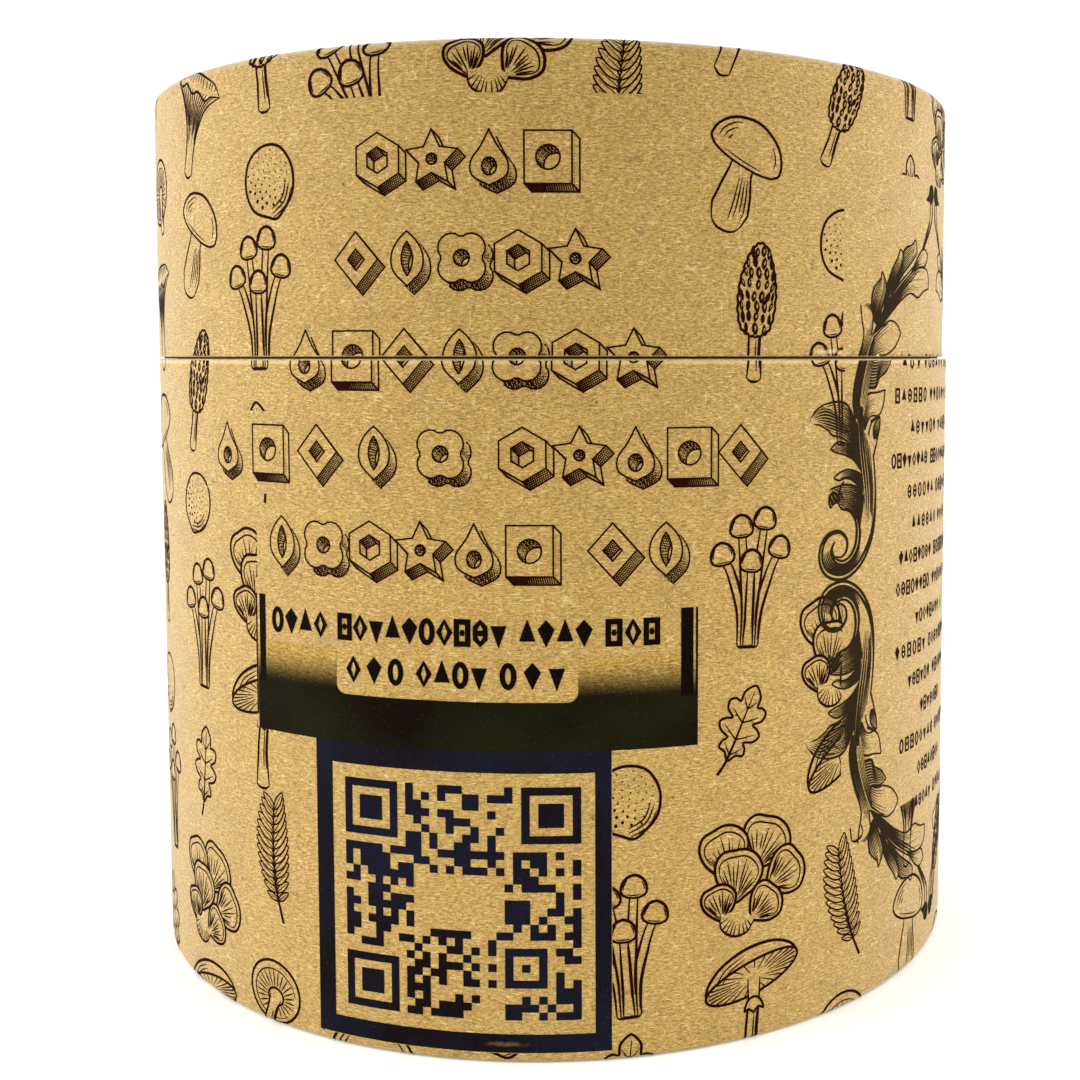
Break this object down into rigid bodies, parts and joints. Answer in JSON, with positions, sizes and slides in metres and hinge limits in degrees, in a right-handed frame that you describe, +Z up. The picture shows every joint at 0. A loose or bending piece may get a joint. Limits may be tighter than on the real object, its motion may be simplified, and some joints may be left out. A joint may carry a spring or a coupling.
{
  "type": "cardboard tube box with lift-off lid",
  "caption": "Round kraft cardboard tube box, closed, with a lift-off lid on an inner neck, rolled rims and flat end discs.",
  "frame": {"origin": "middle of the base, on the surface the box stands on", "axes": "+Z up along the tube's axis, towards the lid; the lid sits 0.4 mm towards -X on its neck"},
  "size_m": [0.152, 0.152, 0.1541],
  "materials": {
    "kraft_printed": "matte printed kraft paper",
    "kraft_plain": "matte plain kraft board"
  },
  "bodies": {
    "root": {"base_tube": "kraft_printed", "base_disc": "kraft_plain", "base_neck": "kraft_plain", "lid_tube": "kraft_printed", "lid_disc": "kraft_plain"}
  },
  "joints": []
}
